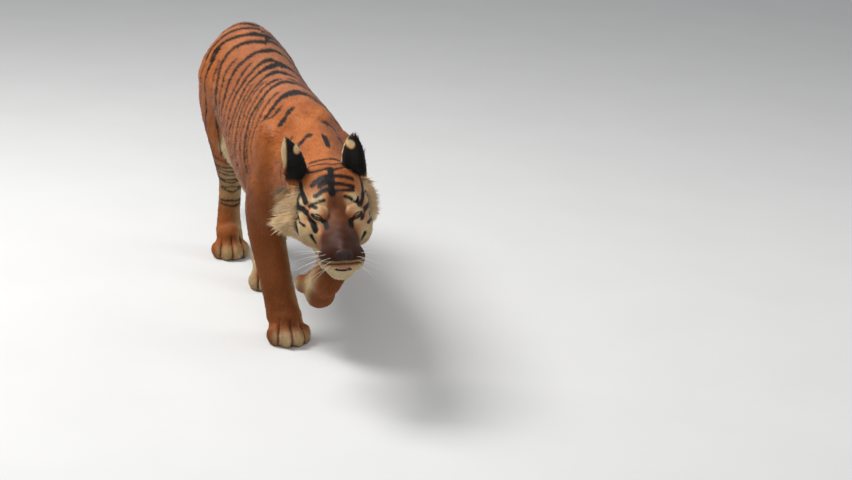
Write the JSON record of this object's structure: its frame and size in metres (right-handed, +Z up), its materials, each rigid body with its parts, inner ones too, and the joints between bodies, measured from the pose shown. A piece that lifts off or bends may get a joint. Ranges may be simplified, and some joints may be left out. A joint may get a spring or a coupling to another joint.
{
  "type": "tiger figure",
  "caption": "Life-size walking tiger, head lowered and one forepaw lifted, standing on its other paws with the tail hanging behind.",
  "frame": {"origin": "middle of the bounding box's base, on the floor the paws stand on", "axes": "+Z up, the tiger faces -Y and its left side is +X"},
  "size_m": [0.3442, 1.9028, 0.7615],
  "materials": {
    "coat": "short dense fur, rust orange with black stripes and cream underside",
    "eye": "wet glossy",
    "nose_leather": "fine grained skin",
    "tongue_flesh": "moist flesh"
  },
  "bodies": {
    "root": {"head": "coat", "lower_jaw": "coat", "neck": "coat", "trunk": "coat", "tail_root": "coat", "tail_middle": "coat", "tail_end": "coat", "fore_right_upper": "coat", "fore_right_forearm": "coat", "fore_right_paw": "coat", "fore_left_upper": "coat", "fore_left_forearm": "coat", "fore_left_paw": "coat", "hind_right_thigh": "coat", "hind_right_shank": "coat", "hind_right_foot": "coat", "hind_right_paw": "coat", "hind_left_thigh": "coat", "hind_left_shank": "coat", "hind_left_foot": "coat", "hind_left_paw": "coat", "ear_left": "coat", "ear_right": "coat", "ruff_left": "coat", "ruff_right": "coat", "eye_left": "eye", "eye_right": "eye", "nose": "nose_leather", "tongue": "tongue_flesh"}
  },
  "joints": []
}
